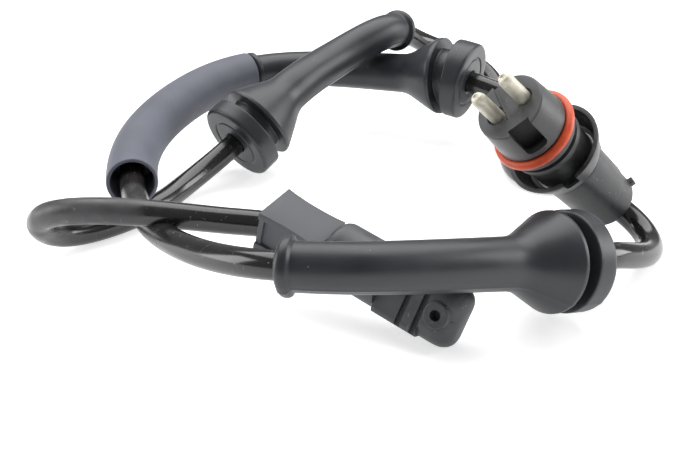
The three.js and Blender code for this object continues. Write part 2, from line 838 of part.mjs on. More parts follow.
// The origin is the middle of the head's footprint on the floor
const footprint = new THREE.Box3().setFromObject(head, true);
const headMiddle = footprint.getCenter(new THREE.Vector3()).setZ(0);
sensor.position.sub(headMiddle);

export default sensor;
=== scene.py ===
import math

import bmesh
import bpy
import numpy as np
from mathutils import Matrix


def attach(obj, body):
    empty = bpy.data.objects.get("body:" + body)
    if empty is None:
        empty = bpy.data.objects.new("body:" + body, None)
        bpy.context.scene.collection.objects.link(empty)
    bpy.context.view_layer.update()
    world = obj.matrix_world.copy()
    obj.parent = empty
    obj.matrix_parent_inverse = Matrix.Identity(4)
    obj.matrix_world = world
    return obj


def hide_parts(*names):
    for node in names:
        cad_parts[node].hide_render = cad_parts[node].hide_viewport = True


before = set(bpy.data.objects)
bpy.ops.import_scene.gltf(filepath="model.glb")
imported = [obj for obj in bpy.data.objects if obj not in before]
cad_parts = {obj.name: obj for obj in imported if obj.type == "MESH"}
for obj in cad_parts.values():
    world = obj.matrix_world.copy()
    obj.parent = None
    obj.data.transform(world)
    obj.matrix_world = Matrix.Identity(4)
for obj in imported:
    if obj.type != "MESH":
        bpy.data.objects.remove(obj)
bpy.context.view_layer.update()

MM = 0.001

# Cable
CABLE_RADIUS = 2.6 * MM
CABLE_ROWS = 1300
CABLE_COLUMNS = 32
# Guide points of the cable's route, from the head to the connector
GUIDE_POINTS = MM * np.array([
    [6.5, -46.5, 9.5], [2.5, -44, 10.5], [-8.5, -34.5, 14.5], [-22.5, -31.5, 13.5],
    [-40, -37.5, 19], [-62.5, -32, 16.5], [-62, -17.5, 1.5], [-43, -5.5, 3.5],
    [-38.5, 9.5, 2.5], [-25.5, 23, 9], [-14, 31.5, 19.5], [-4, 49.5, 20],
    [11.5, 58, 27.5], [16.5, 73, 18], [39, 73.5, 10.5], [39.5, 55, 5],
    [41, 39.5, 4], [35.5, 16.5, 3], [52, 10, 2.5], [62, 26, 9],
    [27, 47.5, 16.5], [24.5, 47.5, 16.5], [6.5, 59, 14], [-10, 63.5, 13.5],
    [-24, 61.5, 13.5], [-34.5, 50.5, 14], [-43, 33.5, 13.5], [-48, 12.5, 13],
    [-46.5, -10.5, 12.5], [-38.5, -33.5, 12.5], [-25.5, -53, 17], [-13, -66, 22],
    [3.5, -65, 21], [27, -52.5, 15.5], [48, -37.5, 8.5], [50, -36.5, 9.5],
    [63, -23.5, 1.5], [61, -11, 4.5], [53.7, -9.4, 8.7], [51.3, -11.1, 11.4],
])
# The origin of the frame, in the coordinates of the guide points
HEAD_MIDDLE = MM * np.array([8.608, -47.661, 0])
ROUTE_DEGREE = 3
ROUTE_POINTS = 6000

# Places of the pieces on the cable, as distances along the route
HEAD_EXIT_AT = 12.2 * MM
GROMMET_ONE_AT = 611 * MM
GROMMET_TWO_AT = 141 * MM
GROMMET_THREE_AT = 348 * MM
GROMMET_LENGTH = 61.1 * MM
SEAT_GAP = 0.3 * MM
CABLE_END_BEHIND_SEAL = 26 * MM

# Directions that turn the head and the connector about their axes
HEAD_UP = np.array([0.37, 0.188, 0.91])
CONNECTOR_UP = np.array([0.747, -0.078, 0.66])


# The route and the places on it

def cubic_route(guides, count):
    """Clamped cubic B-spline: each point is the sum of the guide points weighted by the
    Cox-de Boor basis, worked out for all the parameters at once."""
    spans = len(guides) - ROUTE_DEGREE
    ends = np.zeros(ROUTE_DEGREE)
    knots = np.concatenate([ends, np.linspace(0, 1, spans + 1), ends + 1])
    u = np.linspace(0, 1, count)[:, None]
    basis = ((knots[:-1] <= u) & (u < knots[1:])).astype(float)
    basis[-1, spans + ROUTE_DEGREE - 1] = 1
    for k in range(1, ROUTE_DEGREE + 1):
        rise = knots[k:-1] - knots[:-k - 1]
        fall = knots[k + 1:] - knots[1:-k]
        share_in = np.where(rise > 0, (u - knots[:-k - 1]) / np.where(rise > 0, rise, 1), 0)
        share_out = np.where(fall > 0, (knots[k + 1:] - u) / np.where(fall > 0, fall, 1), 0)
        basis = share_in * basis[:, :-1] + share_out * basis[:, 1:]
    return basis @ guides


ROUTE = cubic_route(GUIDE_POINTS - HEAD_MIDDLE, ROUTE_POINTS)
ROUTE_AT = np.concatenate([[0], np.cumsum(np.linalg.norm(np.diff(ROUTE, axis=0), axis=1))])
ROUTE_LENGTH = ROUTE_AT[-1]


def unit(vectors):
    return vectors / np.linalg.norm(vectors, axis=-1, keepdims=True)


def route_place(distance):
    """Points of the route at distances from its start, in a straight line past its ends."""
    inside = np.clip(distance, 0, ROUTE_LENGTH)
    point = np.stack([np.interp(inside, ROUTE_AT, ROUTE[:, i]) for i in range(3)], axis=-1)
    return point + np.asarray(distance - inside)[..., None] * route_tangent(distance)


def route_tangent(distance):
    middles = (ROUTE_AT[1:] + ROUTE_AT[:-1]) / 2
    steps = unit(np.diff(ROUTE, axis=0))
    parts = [np.interp(distance, middles, steps[:, i]) for i in range(3)]
    return unit(np.stack(parts, axis=-1))


def route_sides(distance):
    """Two directions across the route: one level, one as far up as the route allows."""
    tangent = route_tangent(distance)
    level = unit(np.cross(tangent, [0, 0, 1]))
    return level, np.cross(level, tangent)


class Place:
    """Where a drawn piece stands: its origin and its X, Y and Z directions."""

    def __init__(self, origin, axis, up):
        z = unit(axis)
        x = unit(up - z * (up @ z))
        self.origin = origin
        self.axes = np.array([x, np.cross(z, x), z])

    def set(self, points):
        return self.origin + points @ self.axes


head_exit = route_place(HEAD_EXIT_AT)
HEAD = Place(head_exit, route_place(0.0) - head_exit, HEAD_UP)
end_axis = route_tangent(ROUTE_LENGTH)
CONNECTOR = Place(
    route_place(ROUTE_LENGTH) + CABLE_END_BEHIND_SEAL * end_axis, end_axis, CONNECTOR_UP)


# Outlines

FILLET_POINTS = 6
FILLET_LIMIT = 0.48


def rounded(corners):
    """A smooth outline through corners of [radius, height, fillet]: at each corner a parabola
    leaves the straight line a fillet's length before it and joins the next one that far after.
    A fillet takes less than half of either line."""
    corners = np.array(corners, float) * MM
    points = [corners[:1, :2]]
    for before, corner, after in zip(corners[:-2], corners[1:-1], corners[2:]):
        arm_in = before[:2] - corner[:2]
        arm_out = after[:2] - corner[:2]
        length_in, length_out = np.linalg.norm(arm_in), np.linalg.norm(arm_out)
        fillet = min(corner[2], FILLET_LIMIT * length_in, FILLET_LIMIT * length_out)
        t = np.linspace(0, 1, FILLET_POINTS if fillet > 0 else 1)[:, None]
        start = arm_in / length_in * fillet
        finish = arm_out / length_out * fillet
        points.append(corner[:2] + (1 - t) ** 2 * start + t ** 2 * finish)
    points.append(corners[-1:, :2])
    return np.concatenate(points)


def refined(outline, step):
    """The same outline with rows added, so that no two lie further apart than a step."""
    parts = []
    for a, b in zip(outline[:-1], outline[1:]):
        count = max(1, math.ceil(np.linalg.norm(b - a) / step))
        parts.append(a + (b - a) * np.arange(count)[:, None] / count)
    return np.concatenate([*parts, outline[-1:]])


def turned(outline, columns):
    """The outline carried round Z: x and y are its radius times the angle's cosine and sine."""
    angle = np.linspace(0, 2 * math.pi, columns, endpoint=False)
    radius, height = outline[:, :1], outline[:, 1:]
    return np.stack(
        [radius * np.cos(angle), radius * np.sin(angle), height + 0 * angle], axis=-1)


def along_route(outline, columns, start, sense):
    """The outline carried along the route: a height is a distance along it, and the radius
    turns from the level direction towards the upward one."""
    angle = np.linspace(0, 2 * math.pi, columns, endpoint=False)[:, None]
    distance = start + sense * outline[:, 1]
    level, up = route_sides(distance)
    ring = np.cos(angle) * level[:, None] + np.sin(angle) * up[:, None]
    return route_place(distance)[:, None] + outline[:, 0, None, None] * ring


# Meshes

SAME_POINT = 0.001 * MM
SHARP_ANGLE = math.radians(38)


def grid_faces(rows, columns, first, closed):
    """Quads between neighbouring rows and columns, the share of a turn at their corners, and
    their rows. The last column meets the first one, and in a closed grid the last row meets
    the first."""
    row = np.arange(rows if closed else rows - 1)[:, None]
    column = np.arange(columns)
    after = (row + 1) % rows
    beside = (column + 1) % columns
    corners = [row * columns + column, after * columns + column,
               after * columns + beside, row * columns + beside]
    faces = np.stack(corners, axis=-1).reshape(-1, 4) + first
    u_here = column / columns + 0 * row
    u_beside = (column + 1) / columns + 0 * row
    around = np.stack([u_here, u_here, u_beside, u_beside], axis=-1).reshape(-1, 4)
    return faces, around, np.repeat(row[:, 0], columns)


def grid_mesh(name, grids, closed=False):
    """One mesh from grids of points. UV's first value goes round a row, from 0 to 1, and its
    second is the distance along the first column, in metres."""
    points, faces, uvs = [], [], []
    first = 0
    for grid in grids:
        rows, columns = grid.shape[:2]
        quads, around, row = grid_faces(rows, columns, first, closed)
        walked = np.linalg.norm(np.diff(grid[:, 0], axis=0), axis=1)
        at = np.concatenate([[0], np.cumsum(walked), [walked.sum()]])
        along = np.stack([at[row], at[row + 1], at[row + 1], at[row]], axis=-1)
        points.append(grid.reshape(-1, 3))
        faces.append(quads)
        uvs.append(np.stack([around, along], axis=-1).reshape(-1, 2))
        first += rows * columns
    mesh = bpy.data.meshes.new(name)
    mesh.from_pydata(np.concatenate(points), [], np.concatenate(faces).tolist())
    layer = mesh.uv_layers.new(name="surface")
    layer.data.foreach_set("uv", np.concatenate(uvs).astype(np.float32).ravel())
    tidy_mesh(mesh)
    return mesh


def tidy_mesh(mesh):
    """Merges doubled points and turns the faces out."""
    work = bmesh.new()
    work.from_mesh(mesh)
    bmesh.ops.remove_doubles(work, verts=work.verts, dist=SAME_POINT)
    bmesh.ops.recalc_face_normals(work, faces=work.faces)
    work.to_mesh(mesh)
    work.free()


def smooth(mesh):
    mesh.polygons.foreach_set("use_smooth", np.ones(len(mesh.polygons), bool))
    mesh.set_sharp_from_angle(angle=SHARP_ANGLE)


def cut_out(mesh, cutters):
    """The mesh less the cutters' meshes, by an exact boolean applied at once."""
    body = bpy.data.objects.new("body_to_cut", mesh)
    bpy.context.scene.collection.objects.link(body)
    tools = []
    for i, cutter in enumerate(cutters):
        tool = bpy.data.objects.new(f"cutter_{i}", cutter)
        bpy.context.scene.collection.objects.link(tool)
        cut = body.modifiers.new(f"cut_{i}", "BOOLEAN")
        cut.operation = "DIFFERENCE"
        cut.solver = "EXACT"
        cut.object = tool
        tools.append(tool)
    view = bpy.context.evaluated_depsgraph_get()
    result = bpy.data.meshes.new_from_object(body.evaluated_get(view))
    for made in [body, *tools]:
        bpy.data.objects.remove(made)
    return result


def piece(name, mesh, look, nodes):
    """Shows the mesh in place of CAD nodes, with a finish, riding on the one body."""
    mesh.name = name
    mesh.materials.clear()
    mesh.materials.append(look)
    smooth(mesh)
    shown = bpy.data.objects.new(name, mesh)
    bpy.context.scene.collection.objects.link(shown)
    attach(shown, "root")
    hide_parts(*nodes)
    return shown


# Camera: the photograph's viewing angle, 26 degrees down

VIEW_DOWN = math.radians(26)
LENS_PIXELS = 1200
PHOTO_WIDTH = 700
NEAREST_SHOWN = 10 * MM
EYE = MM * np.array([0, -240, 113]) - HEAD_MIDDLE


def camera():
    lens = bpy.data.cameras.new("photo_camera")
    lens.sensor_width = 36
    lens.lens = LENS_PIXELS / PHOTO_WIDTH * lens.sensor_width
    lens.clip_start = NEAREST_SHOWN
    eye = bpy.data.objects.new("photo_camera", lens)
    eye.location = EYE
    eye.rotation_euler = (math.pi / 2 - VIEW_DOWN, 0, 0)
    bpy.context.scene.collection.objects.link(eye)
    bpy.context.scene.camera = eye


# Shader nodes

def node(tree, kind, inputs=None, **settings):
    """A new node with its settings, its inputs filled with values or other nodes' outputs."""
    made = tree.nodes.new(kind)
    for key, value in settings.items():
        setattr(made, key, value)
    for key, value in (inputs or {}).items():
        if isinstance(value, bpy.types.NodeSocket):
            tree.links.new(value, made.inputs[key])
        else:
            made.inputs[key].default_value = value
    return made


def new_effect(name, inputs, outputs):
    """An empty shader node group with named inputs and outputs."""
    tree = bpy.data.node_groups.new(name, "ShaderNodeTree")
    for label, kind, value in inputs:
        socket = tree.interface.new_socket(label, in_out="INPUT", socket_type=kind)
        if value is not None:
            socket.default_value = value
    for label, kind in outputs:
        tree.interface.new_socket(label, in_out="OUTPUT", socket_type=kind)
    return tree, node(tree, "NodeGroupInput"), node(tree, "NodeGroupOutput")


FLOAT = "NodeSocketFloat"
VECTOR = "NodeSocketVector"


def mottle_effect():
    """Soft cloudy variation: layered noise stretched to the range 0 to 1."""
    tree, given, result = new_effect(
        "mottle", [("Vector", VECTOR, None), ("Scale", FLOAT, 300.0), ("Detail", FLOAT, 4.0)],
        [("Value", FLOAT)])
    noise = node(tree, "ShaderNodeTexNoise", {
        "Vector": given.outputs["Vector"], "Scale": given.outputs["Scale"],
        "Detail": given.outputs["Detail"]})
    spread = node(tree, "ShaderNodeMapRange", {
        "Value": noise.outputs["Fac"], "From Min": 0.3, "From Max": 0.7})
    tree.links.new(spread.outputs["Result"], result.inputs["Value"])
    return tree


def speck_effect():
    """Sparse dust specks: Voronoi cells whose centre is near and whose colour is rare."""
    tree, given, result = new_effect(
        "specks", [("Vector", VECTOR, None), ("Scale", FLOAT, 900.0), ("Size", FLOAT, 0.16),
                   ("Share", FLOAT, 0.06)],
        [("Mask", FLOAT)])
    cells = node(tree, "ShaderNodeTexVoronoi", {
        "Vector": given.outputs["Vector"], "Scale": given.outputs["Scale"]})
    near = node(tree, "ShaderNodeMath", {0: cells.outputs["Distance"], 1: given.outputs["Size"]},
                operation="LESS_THAN")
    split = node(tree, "ShaderNodeSeparateColor", {"Color": cells.outputs["Color"]})
    rare = node(tree, "ShaderNodeMath", {0: split.outputs["Red"], 1: given.outputs["Share"]},
                operation="LESS_THAN")
    both = node(tree, "ShaderNodeMath", {0: near.outputs[0], 1: rare.outputs[0]},
                operation="MULTIPLY")
    tree.links.new(both.outputs[0], result.inputs["Mask"])
    return tree


def scratch_effect():
    """Fine broken scratches: the middle lines of a noise, kept where a second noise is high."""
    tree, given, result = new_effect(
        "scratches", [("Vector", VECTOR, None), ("Scale", FLOAT, 40.0), ("Width", FLOAT, 0.012),
                      ("Cover", FLOAT, 0.55)],
        [("Mask", FLOAT)])
    lines = node(tree, "ShaderNodeTexNoise", {
        "Vector": given.outputs["Vector"], "Scale": given.outputs["Scale"], "Detail": 2.0})
    from_middle = node(tree, "ShaderNodeMath", {0: lines.outputs["Fac"], 1: 0.5},
                       operation="SUBTRACT")
    distance = node(tree, "ShaderNodeMath", {0: from_middle.outputs[0]}, operation="ABSOLUTE")
    thin = node(tree, "ShaderNodeMath", {0: distance.outputs[0], 1: given.outputs["Width"]},
                operation="LESS_THAN")
    patches = node(tree, "ShaderNodeTexNoise", {
        "Vector": given.outputs["Vector"], "Scale": given.outputs["Scale"], "Detail": 0.0})
    kept = node(tree, "ShaderNodeMath", {0: patches.outputs["Fac"], 1: given.outputs["Cover"]},
                operation="GREATER_THAN")
    both = node(tree, "ShaderNodeMath", {0: thin.outputs[0], 1: kept.outputs[0]},
                operation="MULTIPLY")
    tree.links.new(both.outputs[0], result.inputs["Mask"])
    return tree


MOTTLE = mottle_effect()
SPECKS = speck_effect()
SCRATCHES = scratch_effect()


class Finish:
    """A material under way: a Principled shader and the coordinates that its patterns read."""

    def __init__(self, name, **numbers):
        self.material = bpy.data.materials.new(name)
        self.material.use_nodes = True
        self.tree = self.material.node_tree
        self.shader = self.tree.nodes["Principled BSDF"]
        for key, value in numbers.items():
            self.shader.inputs[key.replace("_", " ")].default_value = value
        self.coordinates = self.add("ShaderNodeTexCoord").outputs["Object"]
        self.height = None

    def add(self, kind, inputs=None, **settings):
        return node(self.tree, kind, inputs, **settings)

    def effect(self, tree, output, **inputs):
        """An effect's output, read at the object's coordinates unless a vector is given."""
        inputs.setdefault("Vector", self.coordinates)
        return self.add("ShaderNodeGroup", inputs, node_tree=tree).outputs[output]

    def between(self, mask, low, high):
        """A number that goes from low to high with the mask."""
        spread = self.add("ShaderNodeMapRange", {"Value": mask, "To Min": low, "To Max": high})
        return spread.outputs["Result"]

    def step(self, value, from_zero, to_one):
        """A mask that goes from 0 to 1 as the value goes from one number to another."""
        spread = self.add("ShaderNodeMapRange", {
            "Value": value, "From Min": from_zero, "From Max": to_one})
        return spread.outputs["Result"]

    def times(self, a, b):
        return self.add("ShaderNodeMath", {0: a, 1: b}, operation="MULTIPLY").outputs[0]

    def blend(self, mask, under, over):
        """A colour that goes from under to over with the mask."""
        mix = self.add("ShaderNodeMix", data_type="RGBA")
        self.tree.links.new(mask, mix.inputs[0])
        for index, colour in ((6, under), (7, over)):
            if isinstance(colour, bpy.types.NodeSocket):
                self.tree.links.new(colour, mix.inputs[index])
            else:
                mix.inputs[index].default_value = (*colour, 1)
        return mix.outputs[2]

    def colour(self, socket):
        self.tree.links.new(socket, self.shader.inputs["Base Color"])

    def roughness(self, socket):
        self.tree.links.new(socket, self.shader.inputs["Roughness"])

    def bump(self, height, distance, strength=1.0):
        """Adds a relief of a height in metres on top of those before it."""
        relief = self.add("ShaderNodeBump", {
            "Height": height, "Distance": distance, "Strength": strength})
        if self.height is not None:
            self.tree.links.new(self.height, relief.inputs["Normal"])
        self.height = relief.outputs["Normal"]
        self.tree.links.new(self.height, self.shader.inputs["Normal"])


SPOT_CORE = 0.3


def spot(finish, centre, radius):
    """A soft round patch: 1 in a core round a point of the object, falling to 0 at the radius."""
    away = finish.add("ShaderNodeVectorMath", {0: finish.coordinates, 1: tuple(centre)},
                      operation="DISTANCE").outputs["Value"]
    spread = finish.add(
        "ShaderNodeMapRange", {"Value": away, "From Min": radius, "From Max": radius * SPOT_CORE},
        interpolation_type="SMOOTHSTEP")
    return spread.outputs["Result"]


# Where painted shade darkens the plug's hollows: a distance from its axis, heights along it, and
# a side
HOLLOW_RADIUS = (6.5 * MM, 5.9 * MM)
BORES_BELOW = (7.9 * MM, 7.5 * MM)
SLOT_BELOW = (9.15 * MM, 9.05 * MM)
SLOT_SIDE = (-4.8 * MM, -5.0 * MM)


def plug_painted_shade_mask(finish):
    """A mask for painted shade: 1 near the connector's axis and well behind its front face, and
    on the key slot's side right up to that face. The distance from the axis is the cross
    product's length."""
    away = finish.add("ShaderNodeVectorMath", {0: finish.coordinates, 1: tuple(CONNECTOR.origin)},
                      operation="SUBTRACT").outputs["Vector"]
    across = finish.add("ShaderNodeVectorMath", {0: away, 1: tuple(CONNECTOR.axes[2])},
                        operation="CROSS_PRODUCT").outputs["Vector"]
    distance = finish.add("ShaderNodeVectorMath", {0: across},
                          operation="LENGTH").outputs["Value"]
    height = finish.add("ShaderNodeVectorMath", {0: away, 1: tuple(CONNECTOR.axes[2])},
                        operation="DOT_PRODUCT").outputs["Value"]
    side = finish.add("ShaderNodeVectorMath", {0: away, 1: tuple(CONNECTOR.axes[1])},
                      operation="DOT_PRODUCT").outputs["Value"]
    slot = finish.times(finish.step(side, *SLOT_SIDE), finish.step(height, *SLOT_BELOW))
    bores = finish.step(height, *BORES_BELOW)
    deep = finish.add("ShaderNodeMath", {0: bores, 1: slot}, operation="MAXIMUM").outputs[0]
    return finish.times(finish.step(distance, *HOLLOW_RADIUS), deep)


# Finishes

def jacket_finish():
    """Glossy black extruded jacket: faint waviness, handling scratches, a hazy scuffed bend."""
    finish = Finish("glossy_cable_jacket", Roughness=0.25, Specular_IOR_Level=0.6)
    uv = finish.add("ShaderNodeUVMap", uv_map="surface").outputs["UV"]
    lengthwise = finish.add("ShaderNodeMapping", {"Vector": uv, "Scale": (3.0, 160.0, 1.0)})
    stretched = lengthwise.outputs["Vector"]
    cloud = finish.effect(MOTTLE, "Value", Scale=160.0, Detail=5.0)
    scratches = finish.effect(
        SCRATCHES, "Mask", Vector=stretched, Scale=2.2, Width=0.006, Cover=0.57)
    specks = finish.effect(SPECKS, "Mask", Scale=1500.0, Size=0.2, Share=0.012)
    haze = finish.times(spot(finish, SCUFFED_BEND, SCUFFED_REACH), cloud)
    dark = finish.blend(cloud, (0.008, 0.007, 0.007), (0.017, 0.015, 0.015))
    hazy = finish.blend(finish.times(haze, 0.5), dark, (0.13, 0.13, 0.14))
    scuffed = finish.blend(finish.times(scratches, 0.45), hazy, (0.22, 0.22, 0.23))
    finish.colour(finish.blend(finish.times(specks, 0.5), scuffed, (0.4, 0.4, 0.4)))
    worn = finish.add("ShaderNodeMath", {0: finish.between(cloud, 0.19, 0.28), 1: haze},
                      operation="ADD", use_clamp=True)
    finish.roughness(finish.between(worn.outputs[0], 0.03, 0.62))
    finish.bump(finish.effect(MOTTLE, "Value", Scale=70.0, Detail=1.0), 0.03 * MM, 0.4)
    finish.bump(scratches, 0.01 * MM, 0.4)
    return finish.material


def rubber_finish(name, dark, pale, rough, speck_share=0.015):
    """Satin moulded rubber: cloudy bloom, fine grain and a little dust."""
    finish = Finish(name, Specular_IOR_Level=0.5)
    cloud = finish.effect(MOTTLE, "Value", Scale=90.0, Detail=6.0)
    specks = finish.effect(SPECKS, "Mask", Scale=1500.0, Size=0.18, Share=speck_share)
    bloom = finish.blend(cloud, dark, pale)
    finish.colour(finish.blend(finish.times(specks, 0.45), bloom, (0.35, 0.35, 0.36)))
    finish.roughness(finish.between(cloud, rough - 0.05, rough + 0.08))
    finish.bump(finish.effect(MOTTLE, "Value", Scale=2600.0, Detail=3.0), 0.012 * MM, 0.5)
    finish.bump(specks, 0.03 * MM, 0.6)
    return finish.material


# Painted shade: the near black that is painted into the plug's slot and bores
PAINTED_HOLLOW_SHADE = (0.004, 0.004, 0.004)


def plastic_finish(name, dark, pale, rough, painted_hollow_shade=False):
    """Moulded plastic: flow mottling, a fine matt grain and small handling scratches. With the
    hollow shade on, painted shade makes the connector's slot and bores nearly black inside."""
    finish = Finish(name, Specular_IOR_Level=0.5)
    cloud = finish.effect(MOTTLE, "Value", Scale=260.0, Detail=8.0)
    scratches = finish.effect(SCRATCHES, "Mask", Scale=330.0, Width=0.007, Cover=0.58)
    specks = finish.effect(SPECKS, "Mask", Scale=1800.0, Size=0.2, Share=0.015)
    flow = finish.blend(cloud, dark, pale)
    marked = finish.blend(finish.times(scratches, 0.25), flow, (0.3, 0.3, 0.31))
    surface = finish.blend(finish.times(specks, 0.5), marked, (0.4, 0.4, 0.41))
    # Painted shade: the slot and bores are blended to near black
    if painted_hollow_shade:
        surface = finish.blend(plug_painted_shade_mask(finish), surface, PAINTED_HOLLOW_SHADE)
    finish.colour(surface)
    finish.roughness(finish.between(cloud, rough - 0.08, rough + 0.1))
    finish.bump(finish.effect(MOTTLE, "Value", Scale=1500.0, Detail=4.0), 0.02 * MM, 0.6)
    finish.bump(scratches, 0.012 * MM, 0.5)
    return finish.material


def seal_finish(name, dark, pale):
    """Satin silicone: nearly even colour with a slight bloom."""
    finish = Finish(name, Specular_IOR_Level=0.5)
    cloud = finish.effect(MOTTLE, "Value", Scale=420.0, Detail=4.0)
    finish.colour(finish.blend(cloud, dark, pale))
    finish.roughness(finish.between(cloud, 0.34, 0.5))
    finish.bump(finish.effect(MOTTLE, "Value", Scale=1800.0, Detail=2.0), 0.01 * MM, 0.4)
    return finish.material


def metal_finish(name, dark, pale, rough, metallic=1.0):
    """Plated contact metal: brushed along, with slightly tarnished clouds."""
    finish = Finish(name, Metallic=metallic)
    cloud = finish.effect(MOTTLE, "Value", Scale=500.0, Detail=6.0)
    scratches = finish.effect(SCRATCHES, "Mask", Scale=700.0, Width=0.02, Cover=0.5)
    finish.colour(finish.blend(cloud, dark, pale))
    finish.roughness(finish.between(cloud, rough - 0.06, rough + 0.14))
    finish.bump(scratches, 0.006 * MM, 0.4)
    finish.bump(finish.effect(MOTTLE, "Value", Scale=1600.0, Detail=3.0), 0.01 * MM, 0.5)
    return finish.material


# Cable

SCUFFED_BEND = route_place(66 * MM) + np.array([0, 0, CABLE_RADIUS])
SCUFFED_REACH = 26 * MM
# The stretch drawn as a cut end and the fillet of its edge, in millimetres
CABLE_END_LENGTH = 5
CABLE_END_EDGE = 0.2


def cable(look):
    """A circle carried along the whole route, closed at both ends."""
    radius = CABLE_RADIUS / MM
    cut = rounded([[0, 0, 0], [radius, 0, CABLE_END_EDGE], [radius, CABLE_END_LENGTH, 0]])
    end_length = CABLE_END_LENGTH * MM
    body = np.stack([np.full(CABLE_ROWS, CABLE_RADIUS),
                     np.linspace(end_length, ROUTE_LENGTH - end_length, CABLE_ROWS)], axis=-1)
    end = cut[::-1] * [1, -1] + [0, ROUTE_LENGTH]
    outline = np.concatenate([cut[:-1], body, end[1:]])
    mesh = grid_mesh("cable", [along_route(outline, CABLE_COLUMNS, 0, 1)])
    return piece("cable_jacket", mesh, look, ["cable"])


# Grommets and sleeve

BENT_ROW_STEP = 0.8 * MM
GROMMET_OUTLINE = [
    [2.65, 2, 0], [2.65, 0.2, 0.3], [3.1, 0, 0.2], [5.6, 0, 0.15], [5.8, 0.25, 0.1],
    [6.2, 0.25, 0.1], [6.4, 0, 0.15], [9.6, 0, 0.9], [9.6, 4.6, 0.35], [6.7, 4.6, 0.3],
    [6.7, 7.4, 0.3], [9.5, 7.4, 0.15], [9.5, 8.2, 0.25], [4.95, 16.9, 2.2], [4.3, 58.8, 0.25],
    [4.5, 58.95, 0.5], [5.25, 59.4, 1.1], [5.25, 60.5, 1.1], [4.4, 61.1, 0.5],
    [2.9, 61.1, 0.3], [2.65, 60.8, 0.3], [2.65, 59, 0],
]
GROMMET_COLUMNS = 112
MOULD_LINE = 0.12 * MM
MOULD_LINE_ANGLE = math.pi * 1.82
MOULD_LINE_SPREAD = 0.05
TUBE_AND_DISC_FROM = 4 * MM


def grommet(name, start, sense, look):
    """The outline carried along the route, with a raised mould line down one side: the radius
    gains a narrow bell-shaped rise round one angle."""
    outline = refined(rounded(GROMMET_OUTLINE), BENT_ROW_STEP)
    grid = along_route(outline, GROMMET_COLUMNS, start, sense)
    angle = np.linspace(0, 2 * math.pi, GROMMET_COLUMNS, endpoint=False)
    rise = MOULD_LINE * np.exp(-((angle - MOULD_LINE_ANGLE) / MOULD_LINE_SPREAD) ** 2)
    middle = route_place(start + sense * outline[:, 1])[:, None]
    outward = unit(grid - middle)
    outside = (outline[:, 0] > TUBE_AND_DISC_FROM)[:, None, None]
    grid = grid + outward * rise[None, :, None] * outside
    return piece(name + "_rubber", grid_mesh(name, [grid]), look, [name])


SLEEVE_COLUMNS = 80
SLEEVE_OUTLINE = [
    [2.7, 3, 0], [2.7, 0, 0.1], [5.4, 0, 0.3], [5.4, 74, 0.35], [4.6, 74, 0.3],
    [4.5, 62, 0.5], [2.75, 61, 0.2], [2.75, 59, 0],
]


def sleeve(look):
    """The outline carried along the route, just past the third grommet's end."""
    start = GROMMET_THREE_AT + GROMMET_LENGTH + SEAT_GAP
    outline = refined(rounded(SLEEVE_OUTLINE), BENT_ROW_STEP)
    mesh = grid_mesh("sleeve", [along_route(outline, SLEEVE_COLUMNS, start, 1)])
    return piece("sleeve_hose", mesh, look, ["protective_sleeve"])


# Sensor head: sizes in millimetres, distances from the lead's side to the tip

LEAD_HOLE_DEPTH = 2.5
LEAD_HOLE_RADIUS = 2.7
LEAD_HOLE_CHAMFER = 0.3
BARREL_LENGTH = 13.6
COLLAR_TO = 23.2
HEAD_LENGTH = 29.5
BARREL_RADIUS = 5.9
DOME = 2.2
COLLAR_HALF = (5.8, 4.3, 1.2)
NOSE_HALF = (5.8, 4.4, 3.4)
TIP_ROUND = 3.8
EDGE_ROUND = 2.4
GROOVES_AT = (19.4, 22.6)
GROOVE_HALF = 0.55
GROOVE_FLOOR = 3.4
BOSS_AT = 25.7
BOSS_RADIUS = 2.45
BOSS_TOP = 5.0
BOSS_HOLE_RADIUS = 0.975
BOSS_HOLE_FLOOR = 3.1
BOSS_EDGE = 0.25
EDGE = 0.12
FURROW_DEPTH = 0.12
FURROW_WIDTH = 0.09
HEAD_COLUMNS = 400
ROUND_ROWS = 12
BARREL_ROWS_AFTER_DOME = 0.5
COLLAR_ROW_STEP = 0.3
NOSE_ROW_STEP = 0.09
NOSE_ROWS_AFTER_COLLAR = 0.02
GROOVE_WALL = 0.01
CORNER_SHARE = 0.98
LEAST_HALF = 0.001
NEARLY_ZERO = 1e-9


def rounded_section(angle, half_x, half_y, corner):
    """Distance from the middle to a rounded rectangle's edge in a direction: to the straight
    side where the direction meets it, and else to the corner's arc."""
    c, s = np.abs(np.cos(angle)), np.abs(np.sin(angle))
    to_x = half_x / np.maximum(c, NEARLY_ZERO)
    to_y = half_y / np.maximum(s, NEARLY_ZERO)
    flat_x, flat_y = half_x - corner, half_y - corner
    along = c * flat_x + s * flat_y
    arc = along + np.sqrt(np.maximum(along ** 2 - flat_x ** 2 - flat_y ** 2 + corner ** 2, 0))
    return np.where(to_x * s <= flat_y, to_x, np.where(to_y * c <= flat_x, to_y, arc))


